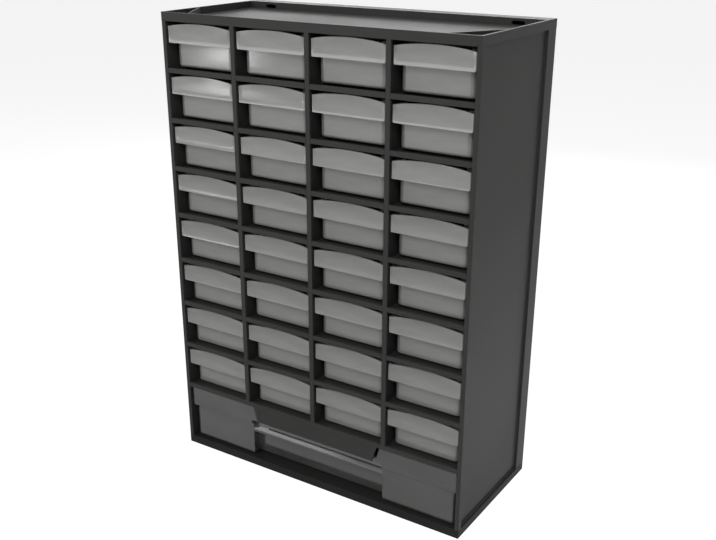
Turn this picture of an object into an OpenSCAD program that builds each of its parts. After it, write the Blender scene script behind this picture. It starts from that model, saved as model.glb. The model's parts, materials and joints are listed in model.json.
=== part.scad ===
// Parts bin cabinet: an egg-crate housing of moulded panels with a grid of
// small see-through drawers over one wide drawer.
// Millimetres, +Z up, front towards -Y, origin on the floor under the centre.

/* [Grid] */
// Columns of small drawers
cols = 4; // [3:1:5]
// Rows of small drawers
rows = 8; // [2:1:9]
// Clear width of one cell, between the divider beads
cell_w = 71.2; // [56:0.2:90]
// Clear height of one cell, from the shelf up to the bead above
cell_h = 39.8; // [34:0.2:60]
// Clear height of the wide drawer's bay
bay_h = 55.8; // [50:0.2:90]

/* [Housing] */
// Depth of the housing, front to back
body_d = 136; // [110:1:200]
// Thickness of a side panel
side_wall = 1.8; // [1.4:0.1:3]
// How far a side panel lies inside its flanges
side_inset = 2.2; // [1:0.1:5]
// Depth of a side panel's front flange
front_flange = 5; // [3:0.5:12]
// Depth of the housing's rear band: the side panels' flanges and the tray's rail
rear_band = 16; // [10:0.5:30]
// Height of the top tray, over its rim
top_h = 7.6; // [6.8:0.2:14]
// Thickness of the top tray's plate and of its rear rail's top
top_plate = 1.6; // [1.2:0.1:2]
// Thickness of the tray's and the base's rims
rim_t = 2.4; // [1.6:0.1:4]
// Thickness of the rear rim that the back panel lies against
rear_rim_t = 2.4; // [1.6:0.1:4]
// Height of the base, over its skirt
base_h = 8; // [6:0.2:16]
// Thickness of the base's plate
base_plate = 2; // [1.6:0.1:3]
// Height of the shadow groove along a side panel's foot
foot_groove_h = 4; // [2:0.5:10]
// Depth of the shadow groove along a side panel's foot
foot_groove_d = 0.8; // [0.3:0.1:0.9]
// Thickness of the back panel
back_t = 1.8; // [1.2:0.1:3]
// Depth of the grooves that hold the panels' edges
groove = 0.8; // [0.4:0.1:1]
// Width of the triangular pockets in the tray's front corners, along its front
pocket_w = 26; // [14:1:40]
// Depth of those pockets, along the tray's sides
pocket_d = 43; // [14:1:60]
// Thickness of a pocket's wall
pocket_wall = 1.6; // [1:0.1:3]

/* [Shelves and dividers] */
// Height of a shelf's front bead
shelf_bead = 4.2; // [3:0.1:6]
// Thickness of a shelf's floor, flush with the underside of its bead
shelf_web = 2; // [1.4:0.1:2.6]
// Width of a divider's front bead
divider_bead = 4.4; // [3.2:0.1:8]
// Thickness of a divider behind its bead
divider_web = 2; // [1.4:0.1:2.8]
// Depth of the front beads
bead_d = 3; // [2:0.5:8]
// Width of a guide rib
rib_w = 1.4; // [0.8:0.1:1.5]
// Height of a guide rib over the runner beside it
rib_h = 2.5; // [1:0.1:5]
// Width of the runner under a drawer's edge
runner_w = 4; // [1:0.5:10]
// Distance from the front to where the runners and guide ribs start
rib_start = 16; // [8:1:30]
// Distance from the back panel to where the runners and guide ribs end
rib_end = 12; // [6:1:30]
// Depth of the base's rear ledge in front of the back panel
rear_ledge = 4; // [2:0.5:6]

/* [Label tab] */
// Width of the tab under the lowest shelf, along its lower edge
tab_w = 129; // [60:1:150]
// Extra width at each end of the tab's upper edge
tab_slant = 4.5; // [0:0.5:10]
// Height that the tab hangs below the shelf
tab_h = 15.2; // [8:0.2:18]
// Thickness of the tab
tab_t = 2.2; // [1.4:0.1:3]
// Depth of the bare label field sunk in the tab's face
field_depth = 0.5; // [0.2:0.1:0.8]
// Margin of the tab around its label field
field_margin = 2.4; // [1.5:0.1:4]

/* [Rail windows and wall screws] */
// Distance from the housing's side to the middle of a rail window
window_inset = 27; // [14:0.5:60]
// Length of a rail window, end to end
window_l = 12; // [6:0.5:16]
// Height of a rail window
window_h = 3.4; // [2:0.1:4]
// Diameter of the wall screws' holes in the back panel
screw_hole_d = 4.2; // [3:0.1:6]
// Distance from the top tray's underside down to the screw holes
screw_drop = 12; // [6:0.5:30]

/* [Small drawers] */
// Distance from the housing's front to a small drawer's lip
lip_setback = 1.6; // [1:0.1:6]
// How far a small drawer's lip stands in front of its face
lip_reach = 7; // [4:0.1:8.4]
// Height of a small drawer's lip, at its crown
lip_h = 17; // [10:0.5:22]
// Rise of the lip's arched upper edge
lip_rise = 3.2; // [0.5:0.1:4.5]
// Depth of a small drawer's lip, front to back, at its ends
lip_depth = 10; // [9:0.5:16]
// Width of the flared rim along a small drawer's lip, at its foot and ends
rim_w = 4; // [2:0.5:6]
// How far that rim stands out at its edge
rim_flare = 0.9; // [0.3:0.1:1.5]
// Radius of a small lip's lower corners, seen from the front
lip_corner = 2; // [1:0.5:3]
// Radius of a small drawer's front corners
face_r = 6; // [4:0.5:16]

/* [Wide drawer] */
// Distance from the housing's front to the wide drawer's lip
wide_setback = 2.4; // [1:0.1:8]
// How far the wide drawer's lip stands in front of its face
wide_reach = 2.3; // [1:0.1:6]
// Height of the wide drawer's lip
wide_lip_h = 19.6; // [12:0.2:24]
// Radius of the wide drawer's front corners
wide_r = 4; // [3:0.5:12]
// Gap between the label tab's upper end and the end of the handle recess
grip_gap = 4; // [2:0.5:12]
// Height of the handle's front edge above the drawer's underside
grip_h = 28.4; // [18:0.2:32]
// How far the recess's wall lies behind the drawer's face
grip_reach = 8.5; // [5:0.5:14]
// How far the handle's upper wall leans back at its top
grip_rake = 6.5; // [4:0.5:8]
// Height and depth of the handle's sloping nose
grip_nose = 3.5; // [1:0.5:3.5]
// Gap all round between the label tab and the drawer that passes it
tab_pass = 1.6; // [0.8:0.1:3]
// Thickness of the handle's ledge
grip_t = 2.6; // [1.6:0.1:4]

/* [Drawer shells and clearances] */
// Thickness of the drawers' walls and floors
shell = 1.5; // [1:0.1:2]
// Radius of the lips' front corners
lip_r = 2; // [2:0.5:6]
// Radius of the drawers' rear corners
rear_r = 3; // [2.2:0.2:8]
// Gap between a lip's end and the cell beside it
lip_gap = 0.5; // [0.4:0.1:2]
// Gap between a drawer's side and the cell beside it
side_gap = 3; // [2:0.1:5]
// Gap between a drawer's top and the bead above it
top_gap = 1.2; // [0.6:0.1:2]
// Gap between a drawer's floor and what it slides on
slide_gap = 0.3; // [0.2:0.1:1]
// Gap between a drawer's side and its guide ribs
guide_gap = 0.5; // [0.3:0.1:1]
// Gap between a drawer's rear and the back panel
rear_gap = 4; // [1:0.5:8]

/* [Drawer stops] */
// Height of the stop ribs under each ceiling
stop_rib_h = 2.8; // [2:0.1:4]
// Thickness of a stop rib
stop_rib_t = 2; // [1.2:0.1:4]
// Gap between a drawer's front and the stop rib behind it
stop_gap = 1.6; // [0.6:0.1:4]
// Width of the two stop nubs over the wide drawer
stop_nub_w = 12; // [4:0.5:30]
// Gap between a drawer's side walls and the stop rib above them
pass_gap = 1.2; // [0.6:0.1:3]
// Length of a drawer's stop lug
lug_l = 5; // [3:0.5:12]

/* [Fits] */
// Gap of each panel edge in its groove or slot
fit_gap = 0.1; // [0.05:0.05:0.2]

/* [Hidden] */
$fn = 64;
eps = 0.01;

small_names = [for (r = [1:rows]) for (c = [1:cols]) str("drawer_r", r, "_c", c)];
shelf_names = [for (r = [1:rows]) str("shelf_", r)];
divider_names = [for (c = [1:cols - 1]) str("divider_", c)];

// Housing
stile_w = side_wall + side_inset;
pitch_x = cell_w + divider_bead;
pitch_z = cell_h + shelf_bead;
inner_w = cols * pitch_x - divider_bead;
body_w = inner_w + 2 * stile_w;
front_y = -body_d / 2;
back_y = body_d / 2;
panel_y = back_y - rear_rim_t - fit_gap - back_t;
grid_z = base_h + bay_h;
tray_z = grid_z + rows * pitch_z;
body_h = tray_z + top_h;
window_x = body_w / 2 - window_inset;
window_z = tray_z + top_h / 2;
floor_drop = shelf_bead - shelf_web;
half_lap_y = (front_y + panel_y) / 2;

// Heights of the shelves' undersides, the lowest one last
function shelf_z(r) = tray_z - r * pitch_z;
// Middle of a column
function cell_x(c) = (c - (cols + 1) / 2) * pitch_x;
// Middle of a divider
function divider_x(c) = (c - cols / 2) * pitch_x;

// Drawers
small_w = cell_w - 2 * side_gap;
small_lip_w = cell_w - 2 * lip_gap;
small_h = cell_h - slide_gap - top_gap;
wide_w = inner_w - 2 * side_gap;
wide_lip_w = inner_w - 2 * lip_gap;
wide_h = bay_h - slide_gap - top_gap;
drawer_rear_y = panel_y - rear_gap;
wide_lip_d = wide_reach + wide_r + shell;
grip = tab_w / 2 + tab_slant + grip_gap;
recess_z = bay_h - slide_gap - tab_h - tab_pass;
rib_stop_y = front_y + max(lip_setback + lip_depth, wide_setback + wide_lip_d) + stop_gap;
lug_y = drawer_rear_y - rear_r - lug_l;
wall_drop = stop_rib_h + pass_gap - top_gap;

case_color = "#3f4143";
bin_color = "#8b8d8f";

// A box from its lowest to its highest corner
module block(lo, hi) {
    translate(lo) cube(hi - lo);
}

// Plan outline of a lip, with round front corners
module lip_plan(w, y0, y1, radius) {
    difference() {
        translate([-w / 2, y0]) square([w, y1 - y0]);
        for (side = [-1, 1]) plan_corner(side, w / 2, y0, 1, radius);
    }
}

// Plan outline of a drawer, with its own front and rear corner radii
module rounded_plan(w, y0, y1, front_radius, rear_radius) {
    difference() {
        lip_plan(w, y0, y1, front_radius);
        for (side = [-1, 1]) plan_corner(side, w / 2, y1, -1, rear_radius);
    }
}

// The waste outside one round corner of a plan outline
module plan_corner(side, x, y, inward, radius) {
    cx = side * (x - radius);
    cy = y + inward * radius;
    difference() {
        translate([side > 0 ? cx : -x - 1, inward > 0 ? y - 1 : cy]) square(radius + 1);
        translate([cx, cy]) circle(radius);
    }
}

// ---------------------------------------------------------------- housing

// Side panel on the +X side
module side_panel() {
    wall_x = inner_w / 2;
    outer_x = body_w / 2;
    difference() {
        union() {
            block([wall_x, front_y, base_h - groove],
                  [wall_x + side_wall, back_y, tray_z + groove - fit_gap]);
            block([wall_x, front_y, base_h], [outer_x, front_y + front_flange, tray_z]);
            block([wall_x, back_y - rear_band, base_h], [outer_x, back_y, tray_z]);
        }
        for (r = [1:rows]) {
            block([wall_x - 1, front_y + bead_d, shelf_z(r)],
                  [wall_x + groove, panel_y, shelf_z(r) + shelf_web + fit_gap]);
        }
        block([wall_x - 1, panel_y, base_h - groove - 1],
              [wall_x + groove, panel_y + back_t + fit_gap, body_h]);
        block([wall_x + side_wall - foot_groove_d, front_y + front_flange, base_h],
              [outer_x, back_y - rear_band, base_h + foot_groove_h]);
    }
}

// Tray on top, with a raised rim, a hollow rear rail and two corner pockets
module top_tray_shape() {
    deck_z = tray_z + top_plate;
    difference() {
        block([-body_w / 2, front_y, tray_z], [body_w / 2, back_y, body_h]);
        difference() {
            block([-body_w / 2 + rim_t, front_y + rim_t, deck_z],
                  [body_w / 2 - rim_t, back_y - rear_band, body_h + 1]);
            for (side = [-1, 1]) corner_web(side);
        }
        block([-inner_w / 2 + rim_t, back_y - rear_band + rim_t, tray_z - 1],
              [inner_w / 2 - rim_t, back_y - rear_rim_t, body_h - top_plate]);
        for (side = [-1, 1]) {
            rail_window(side * window_x);
            side_groove(side, tray_z - 1, tray_z + groove);
        }
        for (c = [1:cols - 1]) {
            block([divider_x(c) - divider_web / 2 - fit_gap, front_y + bead_d, tray_z - 1],
                  [divider_x(c) + divider_web / 2 + fit_gap, panel_y, tray_z + groove]);
        }
        back_groove(tray_z - 1, tray_z + groove);
    }
    for (c = [1:cols]) stop_rib(cell_x(c), small_w, tray_z);
}

// Rib across a ceiling at height z
module stop_rib(x, w, z) {
    block([x - w / 2, rib_stop_y, z - stop_rib_h], [x + w / 2, rib_stop_y + stop_rib_t, z + eps]);
}

// Slanted wall that closes a pocket in the tray's front corner
module corner_web(side) {
    x = body_w / 2 - rim_t;
    y = front_y + rim_t;
    grow = 1 + pocket_wall * norm([pocket_w, pocket_d]) / (pocket_w * pocket_d);
    translate([0, 0, tray_z]) linear_extrude(top_h) polygon([
        [side * (x + eps - pocket_w), y - eps],
        [side * (x + eps), y - eps + pocket_d],
        [side * (x + eps), y - eps + pocket_d * grow],
        [side * (x + eps - pocket_w * grow), y - eps],
    ]);
}

// Level window with round ends, through the front wall of the tray's rear rail
module rail_window(x) {
    half = (window_l - window_h) / 2;
    wall_back = back_y - rear_band + rim_t;
    for (end = [-half, half]) {
        translate([x + end, wall_back + 1, window_z]) rotate([90, 0, 0])
            cylinder(h = rim_t + 2, d = window_h);
    }
    block([x - half, wall_back - rim_t - 1, window_z - window_h / 2],
          [x + half, wall_back + 1, window_z + window_h / 2]);
}

// Groove for a side panel's edge, between two heights
module side_groove(side, z0, z1) {
    x0 = inner_w / 2;
    x1 = x0 + side_wall + fit_gap;
    block([side > 0 ? x0 : -x1, front_y - 1, z0], [side > 0 ? x1 : -x0, back_y + 1, z1]);
}

// Groove for the back panel's edge, between two heights
module back_groove(z0, z1) {
    block([-inner_w / 2 - groove, panel_y, z0],
          [inner_w / 2 + groove, panel_y + back_t + fit_gap, z1]);
}

// Base: a sunken floor on a skirt, with runners for the wide drawer
module base_shape() {
    difference() {
        block([-body_w / 2, front_y, 0], [body_w / 2, back_y, base_h]);
        block([-body_w / 2 + rim_t + side_inset, front_y + rim_t, -1],
              [body_w / 2 - rim_t - side_inset, back_y - rim_t, base_h - base_plate]);
        for (side = [-1, 1]) side_groove(side, base_h - groove, base_h + 1);
        back_groove(base_h - groove, base_h + 1);
    }
    guide_ribs(0, wide_w, base_h, 0);
}

// Bar on a floor that lies drop below the drawers' level z, from x0 to x1, up to h above z
module runner(x0, x1, z, drop, h) {
    block([x0, front_y + rib_start, z - drop - eps], [x1, panel_y - rib_end, z + h]);
}

// Guide ribs on both sides of a drawer of width w
module guide_ribs(x, w, z, drop) {
    guide = w / 2 + guide_gap;
    runner(x - guide - rib_w, x - guide, z, drop, rib_h);
    runner(x + guide, x + guide + rib_w, z, drop, rib_h);
}

// Runners on a sunken floor under both edges of a drawer of width w, with their guide ribs
module drawer_runners(x, w, z) {
    guide = w / 2 + guide_gap;
    runner(x - guide - rib_w, x - w / 2 + runner_w, z, floor_drop, 0);
    runner(x + w / 2 - runner_w, x + guide + rib_w, z, floor_drop, 0);
    guide_ribs(x, w, z, floor_drop);
}

// Back panel, held in grooves all round, with two holes for wall screws
module back_panel_shape() {
    x = inner_w / 2 + groove - fit_gap;
    difference() {
        block([-x, panel_y, base_h - groove], [x, panel_y + back_t, tray_z + groove - fit_gap]);
        for (c = [1, cols]) translate([cell_x(c), panel_y + back_t + 1, tray_z - screw_drop])
            rotate([90, 0, 0]) cylinder(h = back_t + 2, d = screw_hole_d);
    }
}

// Shelf under row r, slotted from the front where the dividers pass
module shelf_shape(r) {
    z = shelf_z(r);
    top = z + shelf_bead;
    lowest = r == rows;
    x = inner_w / 2;
    difference() {
        union() {
            block([-x, front_y, z], [x, front_y + bead_d, top]);
            block([-x - groove + fit_gap, front_y + bead_d, z],
                  [x + groove - fit_gap, panel_y, z + shelf_web]);
            for (c = [1:cols]) drawer_runners(cell_x(c), small_w, top);
            if (!lowest) for (c = [1:cols]) stop_rib(cell_x(c), small_w, z);
            if (lowest) for (side = [-1, 1])
                stop_rib(side * (wide_w - stop_nub_w) / 2, stop_nub_w, z);
        }
        if (!lowest) for (c = [1:cols - 1]) divider_notch(divider_x(c), z, top);
        if (lowest) for (c = [1:cols - 1]) {
            block([divider_x(c) - divider_web / 2 - fit_gap, front_y + bead_d,
                   z + shelf_web - groove],
                  [divider_x(c) + divider_web / 2 + fit_gap, panel_y + 1, top + 1]);
        }
    }
    if (lowest) label_tab(z);
}

// Room for a divider's bead and for the front half of its web
module divider_notch(x, z, top) {
    block([x - divider_bead / 2, front_y - 1, z - 1],
          [x + divider_bead / 2, front_y + bead_d, top + 1]);
    block([x - divider_web / 2 - fit_gap, front_y, z - 1],
          [x + divider_web / 2 + fit_gap, half_lap_y + fit_gap, top + 1]);
}

// Bare label tab with slanted ends, hanging from the lowest shelf's bead
module label_tab(z) {
    half = tab_w / 2;
    difference() {
        translate([0, front_y + tab_t, z - tab_h]) rotate([90, 0, 0]) linear_extrude(tab_t)
            polygon([
                [-half, 0], [half, 0], [half + tab_slant, tab_h + eps],
                [-half - tab_slant, tab_h + eps],
            ]);
        block([-half + field_margin, front_y - 1, z - tab_h + field_margin],
              [half - field_margin, front_y + field_depth, z - field_margin / 2]);
    }
}

// Divider c, slotted from the rear where the shelves pass
module divider_shape(c) {
    x = divider_x(c);
    foot_z = shelf_z(rows) + shelf_bead;
    difference() {
        union() {
            block([x - divider_bead / 2, front_y, foot_z],
                  [x + divider_bead / 2, front_y + bead_d, tray_z]);
            block([x - divider_web / 2, front_y + bead_d - eps, foot_z - floor_drop - groove],
                  [x + divider_web / 2, panel_y, tray_z + groove - fit_gap]);
        }
        for (r = [1:rows - 1]) {
            block([x - divider_web / 2 - 1, half_lap_y, shelf_z(r)],
                  [x + divider_web / 2 + 1, panel_y + 1, shelf_z(r) + shelf_web + fit_gap]);
        }
    }
}

// ---------------------------------------------------------------- drawers

// What is taken out of a bin above its floor
module bin_hollow(w, y0, h, front_radius) {
    translate([0, 0, shell]) linear_extrude(h)
        rounded_plan(w - 2 * shell, y0 + shell, drawer_rear_y - shell,
                     front_radius - shell, rear_r - shell);
}

// Two lugs on the side walls, which stop the drawer at the rib above
module stop_lugs(w, wall_top, drawer_h) {
    for (side = [-1, 1]) {
        x = side * (w - shell) / 2;
        block([x - shell / 2, lug_y, wall_top - eps], [x + shell / 2, lug_y + lug_l, drawer_h]);
    }
}

// Outside of a small drawer's lip: arched above, round at its lower corners, and dished in front
module lip_block(y0, y1, z0) {
    half = small_lip_w / 2;
    crown_r = (half * half + lip_rise * lip_rise) / (2 * lip_rise);
    difference() {
        intersection() {
            translate([0, 0, z0]) linear_extrude(lip_h) lip_plan(small_lip_w, y0, y1, lip_r);
            translate([0, y1 + 1, 0]) rotate([90, 0, 0]) linear_extrude(y1 - y0 + 2)
                lip_plan(small_lip_w, z0, small_h + 1, lip_corner);
            translate([0, front_y, small_h - crown_r]) rotate([-90, 0, 0])
                cylinder(h = body_d, r = crown_r, $fn = 360);
        }
        lip_dish(half, y0, z0);
    }
}

// The hollow in front of a lip's face, inside its flared rim
module lip_dish(half, y0, z0) {
    y1 = y0 + rim_flare;
    top = small_h + 1;
    intersection() {
        translate([0, 0, z0]) linear_extrude(lip_h + 1)
            polygon([[-half, y0 - eps], [half, y0 - eps], [half - rim_w, y1], [rim_w - half, y1]]);
        translate([-half, 0, 0]) rotate([90, 0, 90]) linear_extrude(2 * half)
            polygon([[y0 - eps, z0], [y1, z0 + rim_w], [y1, top], [y0 - eps, top]]);
    }
}

// Small drawer, on the floor of its cell and centred on x = 0
module small_bin() {
    lip_y = front_y + lip_setback;
    lip_back = lip_y + lip_depth;
    face_y = lip_y + lip_reach;
    lip_z = small_h - lip_h;
    inner_y = lip_y + rim_flare + shell;
    wall_top = small_h - wall_drop;
    difference() {
        union() {
            linear_extrude(wall_top)
                rounded_plan(small_w, face_y, drawer_rear_y, face_r, rear_r);
            lip_block(lip_y, lip_back, lip_z);
        }
        bin_hollow(small_w, face_y, small_h, face_r);
        translate([0, 0, lip_z + shell]) linear_extrude(lip_h)
            lip_plan(small_lip_w - 2 * shell, inner_y, lip_back - shell, lip_r - shell);
        block([-small_w / 2 + face_r, inner_y, lip_z + shell],
              [small_w / 2 - face_r, lip_back + face_r, small_h + 1]);
    }
    stop_lugs(small_w, wall_top, small_h);
}

// Wide drawer, with a handle in a recess in the middle of its front
module wide_bin() {
    lip_y = front_y + wide_setback;
    face_y = lip_y + wide_reach;
    lip_z = wide_h - wide_lip_h;
    wall_top = wide_h - wall_drop;
    lip_back = lip_y + wide_lip_d;
    recess_back = face_y + grip_reach + shell;
    difference() {
        union() {
            linear_extrude(wall_top)
                rounded_plan(wide_w, face_y, drawer_rear_y, wide_r, rear_r);
            translate([0, 0, lip_z]) linear_extrude(wide_lip_h)
                lip_plan(wide_lip_w, lip_y, lip_back, lip_r);
        }
        difference() {
            union() {
                bin_hollow(wide_w, face_y, wide_h, wide_r);
                translate([0, 0, lip_z + shell]) linear_extrude(wide_lip_h)
                    lip_plan(wide_lip_w - 2 * shell, lip_y + shell, lip_back - shell,
                             lip_r - shell);
                block([-wide_w / 2 + wide_r, lip_y + shell, lip_z + shell],
                      [wide_w / 2 - wide_r, lip_back + wide_r, wide_h + 1]);
            }
            handle_recess(shell, lip_y, recess_back);
        }
        handle_recess(0, front_y, recess_back + eps);
    }
    handle_front(face_y, recess_back);
    stop_lugs(wide_w, wall_top, wide_h);
}

// The handle's recess from y0 to y1, narrower beside the label tab, or its outside with grow added
module handle_recess(grow, y0, y1) {
    low = grip + grow;
    tab = tab_w / 2 + tab_pass + grow;
    step_z = recess_z + grow;
    slope = tab_slant / tab_h;
    high = tab + slope * (wide_h + 1 - recess_z);
    near = tab + slope * grow;
    translate([0, y1, 0]) rotate([90, 0, 0]) linear_extrude(y1 - y0)
        polygon([
            [-low, -1], [low, -1], [low, step_z], [near, step_z], [high, wide_h + 1],
            [-high, wide_h + 1], [-near, step_z], [-low, step_z],
        ]);
}

// Middle of the wide drawer's front: recessed wall, ledge with a nose, and upper wall
module handle_front(face_y, recess_back) {
    wall_y = face_y + grip_reach;
    top_y = face_y + grip_rake;
    lean = (grip_rake - grip_nose) / (recess_z - grip_h - grip_nose);
    inner_y = top_y + shell - lean * (recess_z - grip_h);
    translate([grip + eps, 0, 0]) rotate([90, 0, -90]) linear_extrude(2 * (grip + eps))
        polygon([
            [-wall_y, 0], [-wall_y, grip_h - grip_t], [-face_y, grip_h - grip_t],
            [-face_y, grip_h], [-face_y - grip_nose, grip_h + grip_nose], [-top_y, recess_z],
            [-top_y - shell, recess_z], [-inner_y, grip_h], [-recess_back - eps, grip_h],
            [-recess_back - eps, 0],
        ]);
}

// ---------------------------------------------------------------- sub-parts

module top_tray() { color(case_color) top_tray_shape(); }
module base() { color(case_color) base_shape(); }
module back_panel() { color(case_color) back_panel_shape(); }
module right_side() { color(case_color) side_panel(); }
module left_side() { color(case_color) mirror([1, 0, 0]) side_panel(); }
module wide_drawer() { color(bin_color) translate([0, 0, base_h + slide_gap]) wide_bin(); }
module shelf(r) { color(case_color) shelf_shape(r); }
module divider(c) { color(case_color) divider_shape(c); }
module small_drawer(r, c) {
    color(bin_color) translate([cell_x(c), 0, shelf_z(r) + shelf_bead + slide_gap]) small_bin();
}

top_tray();
base();
back_panel();
left_side();
right_side();
wide_drawer();
for (r = [1:rows])
    shelf(r);
for (c = [1:cols - 1])
    divider(c);
for (r = [1:rows]) for (c = [1:cols])
    small_drawer(r, c);
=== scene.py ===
import json
from math import pi, radians

import bmesh
import bpy
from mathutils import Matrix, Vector


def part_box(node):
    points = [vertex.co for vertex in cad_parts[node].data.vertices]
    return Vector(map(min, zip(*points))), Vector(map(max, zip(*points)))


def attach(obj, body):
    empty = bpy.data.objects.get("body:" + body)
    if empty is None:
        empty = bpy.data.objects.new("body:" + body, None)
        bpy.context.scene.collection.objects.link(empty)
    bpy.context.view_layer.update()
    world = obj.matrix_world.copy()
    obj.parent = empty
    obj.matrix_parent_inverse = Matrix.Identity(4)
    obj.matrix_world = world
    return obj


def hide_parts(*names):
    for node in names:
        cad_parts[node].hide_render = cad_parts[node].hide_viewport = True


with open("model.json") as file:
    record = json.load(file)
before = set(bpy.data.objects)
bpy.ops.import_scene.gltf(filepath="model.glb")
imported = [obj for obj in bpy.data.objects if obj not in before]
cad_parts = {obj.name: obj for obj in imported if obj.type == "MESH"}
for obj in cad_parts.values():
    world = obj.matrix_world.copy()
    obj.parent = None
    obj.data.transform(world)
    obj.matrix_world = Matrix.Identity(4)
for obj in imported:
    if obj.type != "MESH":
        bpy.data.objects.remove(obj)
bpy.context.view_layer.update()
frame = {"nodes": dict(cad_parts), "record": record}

nodes = frame["nodes"]
bodies = {n: body for body, names in frame["record"]["behaviour"]["bodies"].items() for n in names}
scene = bpy.context.scene
scene.view_settings.view_transform = "Standard"


# ------------------------------------------------------------------ camera

CAMERA_PLACE = (0.4589, -0.7079, 0.5094)
CAMERA_DOWN = 22.277        # degrees below level
CAMERA_TURN = 33.173        # degrees to the right of the front
CAMERA_LENS = 48.99
CAMERA_SHIFT = (0.0123, 0.0455)


def make_camera():
    cam = bpy.data.objects.new("camera", bpy.data.cameras.new("camera"))
    scene.collection.objects.link(cam)
    cam.location = CAMERA_PLACE
    cam.rotation_euler = (radians(90 - CAMERA_DOWN), 0, radians(CAMERA_TURN))
    cam.data.sensor_width = 36
    cam.data.lens = CAMERA_LENS
    cam.data.shift_x, cam.data.shift_y = CAMERA_SHIFT
    cam.data.clip_start = 0.01
    scene.camera = cam


make_camera()


# --------------------------------------------------------------- materials

CLOUD_LOW, CLOUD_HIGH = 0.3, 0.7        # the part of a noise's range that a ramp spreads out
DRAWER_STRETCH = (0.5, 1, 2.2)          # the drawers' unevenness lies in level bands


class Look:
    """A node material built up a step at a time."""

    def __init__(self, name, color, rough, **fixed):
        self.mat = bpy.data.materials.new(name)
        self.mat.use_nodes = True
        self.tree = self.mat.node_tree
        self.bsdf = self.tree.nodes["Principled BSDF"]
        self.bsdf.inputs["Base Color"].default_value = (*color, 1)
        self.bsdf.inputs["Roughness"].default_value = rough
        for key, value in fixed.items():
            self.bsdf.inputs[key.replace("_", " ")].default_value = value

    def add(self, kind, **settings):
        """Adds a shader node. A setting is one of its attributes or of its inputs."""
        n = self.tree.nodes.new("ShaderNode" + kind)
        for key, value in settings.items():
            if hasattr(n, key):
                setattr(n, key, value)
            else:
                n.inputs[key.replace("_", " ")].default_value = value
        return n

    def link(self, a, out, b, socket):
        self.tree.links.new(a.outputs[out], b.inputs[socket])

    def noise(self, scale, detail, rough, stretch=None):
        """A noise fixed to the piece, finer along an axis with a larger stretch."""
        n = self.add("TexNoise", Scale=scale, Detail=detail, Roughness=rough)
        place = self.add("TexCoord")
        if stretch:
            m = self.add("Mapping", Scale=stretch)
            self.link(place, "Object", m, "Vector")
            self.link(m, "Vector", n, "Vector")
        else:
            self.link(place, "Object", n, "Vector")
        return n

    def ramp(self, source, low, high):
        """Spreads the middle of a noise's range from low to high."""
        n = self.add(
            "MapRange", From_Min=CLOUD_LOW, From_Max=CLOUD_HIGH, To_Min=low, To_Max=high
        )
        self.link(source, 0, n, "Value")
        return n

    def tint(self, source, color_a, color_b):
        """Colours the surface between two colours."""
        n = self.add("Mix", data_type="RGBA")
        n.inputs[6].default_value = (*color_a, 1)
        n.inputs[7].default_value = (*color_b, 1)
        self.link(source, 0, n, 0)
        self.link(n, 2, self.bsdf, "Base Color")

    def bump(self, source, strength, distance):
        n = self.add("Bump", Strength=strength, Distance=distance)
        self.link(source, 0, n, "Height")
        self.link(n, "Normal", self.bsdf, "Normal")


def case_look(name, dark, light, specular):
    """Charcoal moulding with a fine texture and faint flow marks."""
    look = Look(name, dark, 0.45, Specular_IOR_Level=specular)
    cloud = look.noise(9, 4, 0.6)
    grain = look.noise(1700, 2, 0.55)
    look.tint(look.ramp(cloud, 0, 1), dark, light)
    look.link(look.ramp(cloud, 0.4, 0.5), 0, look.bsdf, "Roughness")
    look.bump(grain, 0.3, 0.00025)
    return look.mat


def drawer_look(name, dark, light):
    """Smoke-grey see-through plastic: glossy, and a little wavy as thin mouldings are."""
    look = Look(name, dark, 0.2, IOR=1.5, Transmission_Weight=0.45)
    cloud = look.noise(30, 3, 0.5, DRAWER_STRETCH)
    look.tint(look.ramp(cloud, 0, 1), dark, light)
    look.link(look.ramp(cloud, 0.08, 0.16), 0, look.bsdf, "Roughness")
    wave = look.noise(22, 2, 0.5, DRAWER_STRETCH)
    look.bump(wave, 0.2, 0.0015)
    return look.mat


# ------------------------------------------------------------------ pieces

SHARP = radians(35)         # an edge that turns more than this is rounded
FLAT = radians(0.2)         # faces that turn less than this become one
MERGE = 3e-5                # points closer than this become one before the rounding
TINY = 1e-5                 # and closer than this after it
CASE_EDGE = 0.0004          # radii of the roundings
DRAWER_EDGE = 0.00035
FOOT_RADIUS = 0.0025
LEDGE_RADIUS = 0.0012
LEDGE_LOW = 0.0125          # the handle's long edges are higher than this in the drawer
LEDGE_LENGTH = 0.12         # and longer than this


def soften(bm, chosen, radius, segments):
    """Rounds the sharp edges that chosen picks out."""
    edges = [
        e for e in bm.edges
        if len(e.link_faces) == 2 and e.calc_face_angle(0) > SHARP and chosen(e)
    ]
    bmesh.ops.bevel(
        bm, geom=edges, offset=radius, segments=segments, profile=0.5, affect="EDGES"
    )


def on_foot(edge):
    """Whether an edge lies in a drawer's underside."""
    return all(v.co.z < TINY for v in edge.verts)


def on_ledge(edge):
    """Whether an edge is one of the long ones of the wide drawer's handle."""
    high = min(v.co.z for v in edge.verts) > LEDGE_LOW
    forward = max(v.co.y for v in edge.verts) < 0
    return high and forward and edge.is_convex and edge.calc_length() > LEDGE_LENGTH


def foot_of(node):
    """The place of a drawer's own origin: at its foot, half way across."""
    low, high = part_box(node)
    return Vector(((low[0] + high[0]) / 2, 0, low[2]))


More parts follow.
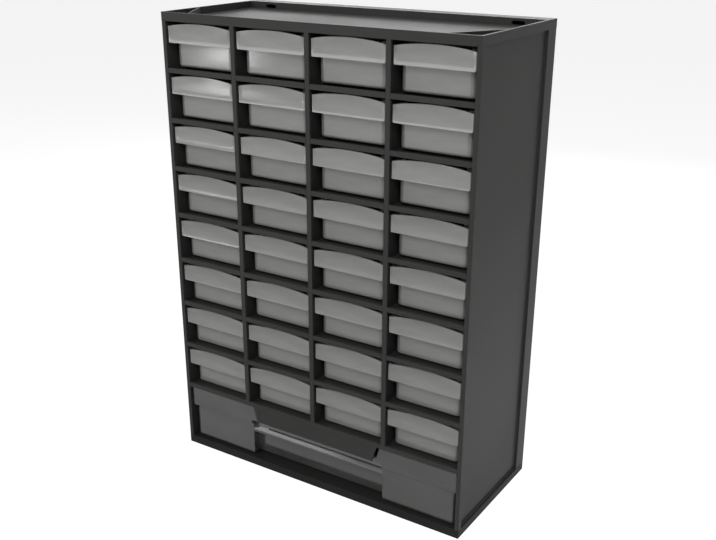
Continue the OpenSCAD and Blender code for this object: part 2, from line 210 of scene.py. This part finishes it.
def moulded(node, name, material):
    """A drawer's mesh around its own origin, with round edges at its foot and its handle."""
    bm = bmesh.new()
    bm.from_mesh(nodes[node].data)
    bmesh.ops.remove_doubles(bm, verts=bm.verts, dist=MERGE)
    bmesh.ops.dissolve_limit(bm, angle_limit=FLAT, verts=bm.verts, edges=bm.edges)
    bmesh.ops.translate(bm, verts=bm.verts, vec=-foot_of(node))
    soften(bm, on_foot, FOOT_RADIUS, 5)
    soften(bm, on_ledge, LEDGE_RADIUS, 3)
    mesh = bpy.data.meshes.new(name)
    bm.to_mesh(mesh)
    bm.free()
    mesh.shade_smooth()
    mesh.set_sharp_from_angle(angle=SHARP)
    mesh.materials.append(material)
    return mesh


def modify(obj, kind, **settings):
    """Adds a modifier with these settings."""
    modifier = obj.modifiers.new(kind.lower(), kind)
    for key, value in settings.items():
        setattr(modifier, key, value)


def round_edges(obj, width, clamp=True, close=True):
    """Small round edges all over a moulding.

    With clamp, a piece that has very short edges gets narrower roundings. With close, the
    points that then lie together become one.
    """
    modify(obj, "WELD", merge_threshold=MERGE)
    modify(obj, "DECIMATE", decimate_type="DISSOLVE", angle_limit=FLAT)
    modify(
        obj, "BEVEL", width=width, segments=2,
        limit_method="ANGLE", angle_limit=SHARP, use_clamp_overlap=clamp,
    )
    if close:
        modify(obj, "WELD", merge_threshold=TINY)
    modify(obj, "WEIGHTED_NORMAL", keep_sharp=True, weight=100)


def dress_drawer(node, mesh):
    """Puts the moulded mesh where the node's solid is."""
    piece = bpy.data.objects.new(node + "_moulded", mesh)
    piece.location = foot_of(node)
    scene.collection.objects.link(piece)
    round_edges(piece, DRAWER_EDGE, clamp=node != "wide_drawer", close=False)
    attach(piece, bodies[node])
    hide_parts(node)


def dress_case(obj, material):
    """Finishes a piece of the housing, which keeps its solid."""
    obj.data.materials.clear()
    obj.data.materials.append(material)
    round_edges(obj, CASE_EDGE)


case_mat = case_look("case_plastic", (0.0295, 0.0293, 0.0285), (0.0365, 0.0362, 0.0352), 0.08)
# The base has the housing's look made darker: painted shade near the floor.
base_shade_mat = case_look("base_plastic_painted_shade", (0.0142, 0.014, 0.0136), (0.0182, 0.018, 0.0175), 0.05)
small_mat = drawer_look("drawer_plastic", (0.245, 0.243, 0.238), (0.325, 0.322, 0.316))
# The wide drawer has the drawers' look made far darker: painted shade low in the chest.
wide_shade_mat = drawer_look("wide_drawer_plastic_painted_shade", (0.066, 0.065, 0.0635), (0.096, 0.095, 0.093))
small_mesh = moulded("drawer_r1_c1", "small_drawer", small_mat)
wide_mesh = moulded("wide_drawer", "wide_drawer", wide_shade_mat)
for name, obj in nodes.items():
    if name == "wide_drawer":
        dress_drawer(name, wide_mesh)
    elif name.startswith("drawer_"):
        dress_drawer(name, small_mesh)
    else:
        dress_case(obj, base_shade_mat if name == "base" else case_mat)


# ------------------------------------------------- world, floor and lamps

WORLD_FILL = 0.15           # light that the world gives to things
FLOOR_HALF = 8.0            # half the floor's width
FLOOR_ROUGH = 0.9
FLOOR_BOUNCE = 0.4          # the floor's grey as things are lit by it
FLOOR_GLOW = 0.85           # as it is seen, it has this much light of its own,
FLOOR_SHADE = 0.3           # and this grey, which takes the shadows


def grey(level):
    return (level, level, level, 1)


def seen_mask(tree):
    """1 for what the camera sees, directly, by gloss or through plastic, and 0 for other light."""
    path = tree.nodes.new("ShaderNodeLightPath")
    seen = path.outputs["Is Camera Ray"]
    for ray in ("Is Transmission Ray", "Is Glossy Ray"):
        either = tree.nodes.new("ShaderNodeMath")
        either.operation = "MAXIMUM"
        tree.links.new(seen, either.inputs[0])
        tree.links.new(path.outputs[ray], either.inputs[1])
        seen = either.outputs[0]
    return seen


def make_world():
    """Plain white where it is seen, and a weak even light on things."""
    world = bpy.data.worlds.new("world")
    scene.world = world
    world.use_nodes = True
    tree = world.node_tree
    back = tree.nodes["Background"]
    back.inputs["Color"].default_value = grey(1)
    seen = seen_mask(tree)
    level = tree.nodes.new("ShaderNodeMapRange")
    level.inputs["To Min"].default_value = WORLD_FILL
    level.inputs["To Max"].default_value = 1.0
    tree.links.new(seen, level.inputs["Value"])
    tree.links.new(level.outputs[0], back.inputs["Strength"])


def floor_look():
    """Near white with shadows where it is seen, and a mid grey that lights things little."""
    mat = bpy.data.materials.new("floor")
    mat.use_nodes = True
    tree = mat.node_tree
    plain = tree.nodes["Principled BSDF"]
    plain.inputs["Base Color"].default_value = grey(FLOOR_BOUNCE)
    plain.inputs["Roughness"].default_value = FLOOR_ROUGH
    glow = tree.nodes.new("ShaderNodeEmission")
    glow.inputs["Color"].default_value = grey(FLOOR_GLOW)
    shade = tree.nodes.new("ShaderNodeBsdfDiffuse")
    shade.inputs["Color"].default_value = grey(FLOOR_SHADE)
    bright = tree.nodes.new("ShaderNodeAddShader")
    tree.links.new(glow.outputs[0], bright.inputs[0])
    tree.links.new(shade.outputs[0], bright.inputs[1])
    mix = tree.nodes.new("ShaderNodeMixShader")
    tree.links.new(seen_mask(tree), mix.inputs[0])
    tree.links.new(plain.outputs[0], mix.inputs[1])
    tree.links.new(bright.outputs[0], mix.inputs[2])
    tree.links.new(mix.outputs[0], tree.nodes["Material Output"].inputs["Surface"])
    return mat


def make_floor():
    s = FLOOR_HALF
    mesh = bpy.data.meshes.new("floor")
    mesh.from_pydata([(-s, -s, 0), (s, -s, 0), (s, s, 0), (-s, s, 0)], [], [(0, 1, 2, 3)])
    floor = bpy.data.objects.new("floor", mesh)
    scene.collection.objects.link(floor)
    mesh.materials.append(floor_look())


def lamp(name, where, aim, size, power, spread=pi):
    """A soft rectangular lamp at where, turned towards aim."""
    data = bpy.data.lights.new(name, "AREA")
    data.shape = "RECTANGLE"
    data.size, data.size_y = size
    data.energy = power
    data.spread = spread
    obj = bpy.data.objects.new(name, data)
    obj.location = where
    obj.rotation_euler = (Vector(where) - Vector(aim)).to_track_quat("Z", "Y").to_euler()
    scene.collection.objects.link(obj)


make_world()
make_floor()
lamp("key", (-0.8, -1.2, 0.9), (0, 0, 0.25), (0.9, 0.9), 10)
lamp("fill", (0.6, -1.3, 1.4), (0, 0, 0.35), (0.8, 0.8), 14)
lamp("top", (0.1, 0.1, 1.7), (0, 0, 0.4), (1.0, 0.8), 7)
lamp("back", (-0.3, 1.3, 0.65), (0, 0, 0.45), (1.6, 0.3), 5)
lamp("panel", (-0.7, -1.1, 0.26), (-0.7, 0, 0.26), (1.0, 0.5), 1.6)
lamp("window", (-0.9, -1.03, 0.21), (-0.08, 0, 0.39), (0.1, 0.07), 0.22)
lamp("strip", (0.75, -0.75, 0.3), (0, 0, 0.25), (0.03, 0.6), 0.4)
lamp("floor_right", (0.6, -0.05, 1.3), (0.6, -0.05, 0), (0.3, 0.6), 5, radians(40))
